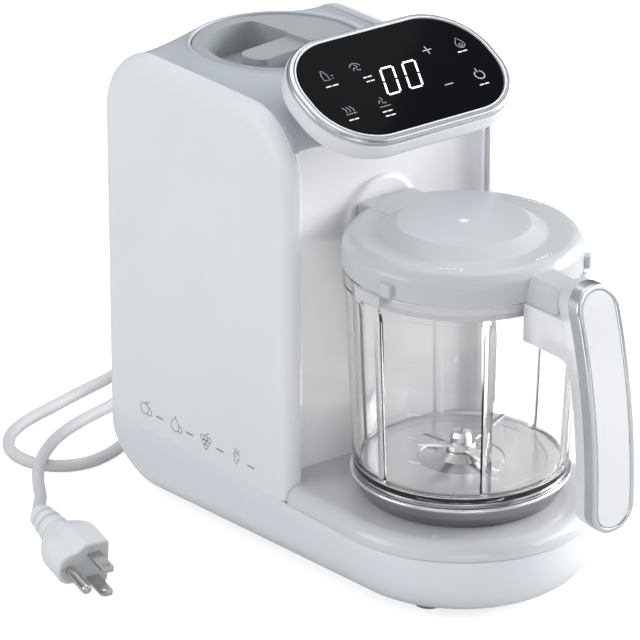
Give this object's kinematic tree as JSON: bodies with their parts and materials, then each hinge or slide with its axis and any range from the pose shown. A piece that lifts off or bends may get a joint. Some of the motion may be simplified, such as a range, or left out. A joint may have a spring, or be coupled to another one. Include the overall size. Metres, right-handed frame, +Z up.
{
  "type": "baby food maker",
  "caption": "Countertop baby food maker: clear blending jug with lid and handle in front of a white tower with water tank, tilted touch panel and mains lead.",
  "frame": {"origin": "on the surface the feet stand on, under the middle of the machine's box, without its mains lead", "axes": "+Z up, -Y to the front (the jug's handle), +X to the machine's left as seen from behind the jug"},
  "size_m": [0.2589, 0.3892, 0.2472],
  "materials": {
    "shell_white": "satin moulded plastic",
    "panel_white": "high gloss",
    "base_white": "satin moulded plastic",
    "tank_grey": "satin",
    "frosted": "frosted",
    "clear": "clear moulded copolyester",
    "silver": "satin silver plating",
    "panel_glass": "black printed glass",
    "steel": "brushed",
    "blade_steel": "ground",
    "rubber": "matt",
    "seal": "silicone",
    "inlay_white": "gloss",
    "dark_plastic": "moulded",
    "inner_plastic": "moulded",
    "circuit": "solder resist",
    "brass": "turned",
    "alloy": "die cast",
    "motor_steel": "plated",
    "hose": "silicone tube",
    "cord_grey": "soft vinyl"
  },
  "bodies": {
    "housing": {"base_pan": "base_white", "rubber_feet": "rubber", "base_cover": "base_white", "left_side_cover": "shell_white", "right_side_cover": "shell_white", "top_cover": "shell_white", "rear_cover": "shell_white", "front_panel": "panel_white", "chassis_plate": "inner_plastic", "cover_screws": "steel", "head_housing": "shell_white", "head_bezel": "silver", "touch_glass": "panel_glass", "display_board": "circuit", "steam_port": "panel_white", "steam_seal": "seal", "steam_nozzle": "brass", "interlock_switch": "dark_plastic", "water_tank": "inner_plastic", "tank_valve": "brass", "tank_collar": "shell_white", "boiler_body": "alloy", "boiler_cover": "alloy", "heating_element": "steel", "thermostat": "brass", "water_pump": "dark_plastic", "water_hose": "hose", "steam_hose": "hose", "power_board": "circuit", "board_parts": "dark_plastic", "motor_can": "motor_steel", "motor_bushes": "brass", "motor_bracket": "motor_steel", "cord_gland": "cord_grey", "cord_clamp": "inner_plastic", "cord_lead": "cord_grey", "cord_tail": "cord_grey", "cord_coil": "cord_grey", "plug_body": "cord_grey", "plug_pins": "steel", "plug_relief": "cord_grey"},
    "drive": {"motor_rotor": "motor_steel", "motor_shaft": "steel", "drive_coupling": "dark_plastic"},
    "jug": {"jug_body": "clear", "jug_ring": "steel", "jug_base": "base_white", "blade_bearing": "inner_plastic", "handle_frame": "silver", "handle_inlay": "inlay_white", "handle_grip": "clear"},
    "blades": {"driven_coupling": "dark_plastic", "blade_shaft": "steel", "blade_set": "blade_steel", "blade_nut": "steel"},
    "lid": {"jug_lid": "frosted", "lid_seal": "seal"},
    "tank_cap": {"tank_lid": "tank_grey", "tank_lid_seal": "seal"},
    "latch_pin": {"interlock_plunger": "inner_plastic"}
  },
  "joints": [
    {"name": "drive_spin", "type": "hinge", "parent": "housing", "child": "drive", "pos_m": [0, -0.0425, 0.04], "axis": [0, 0, 1], "continuous": true},
    {"name": "jug_draw", "type": "slide", "parent": "housing", "child": "jug", "axis": [0, -0.7071, 0.7071], "range_m": [0, 0.12]},
    {"name": "blade_spin", "type": "hinge", "parent": "jug", "child": "blades", "pos_m": [0, -0.0425, 0.06], "axis": [0, 0, 1], "continuous": true},
    {"name": "lid_lift", "type": "slide", "parent": "jug", "child": "lid", "axis": [0, 0, 1], "range_m": [0, 0.022]},
    {"name": "tank_lid_lift", "type": "slide", "parent": "housing", "child": "tank_cap", "axis": [0, 0, 1], "range_m": [0, 0.06]},
    {"name": "interlock_press", "type": "slide", "parent": "housing", "child": "latch_pin", "axis": [0, 1, 0], "range_m": [0, 0.0012], "stiffness_N_per_m": 300, "springref_m": -0.002}
  ],
  "couplings": [
    {"joint": "blade_spin", "follows": "drive_spin", "ratio": 1}
  ]
}
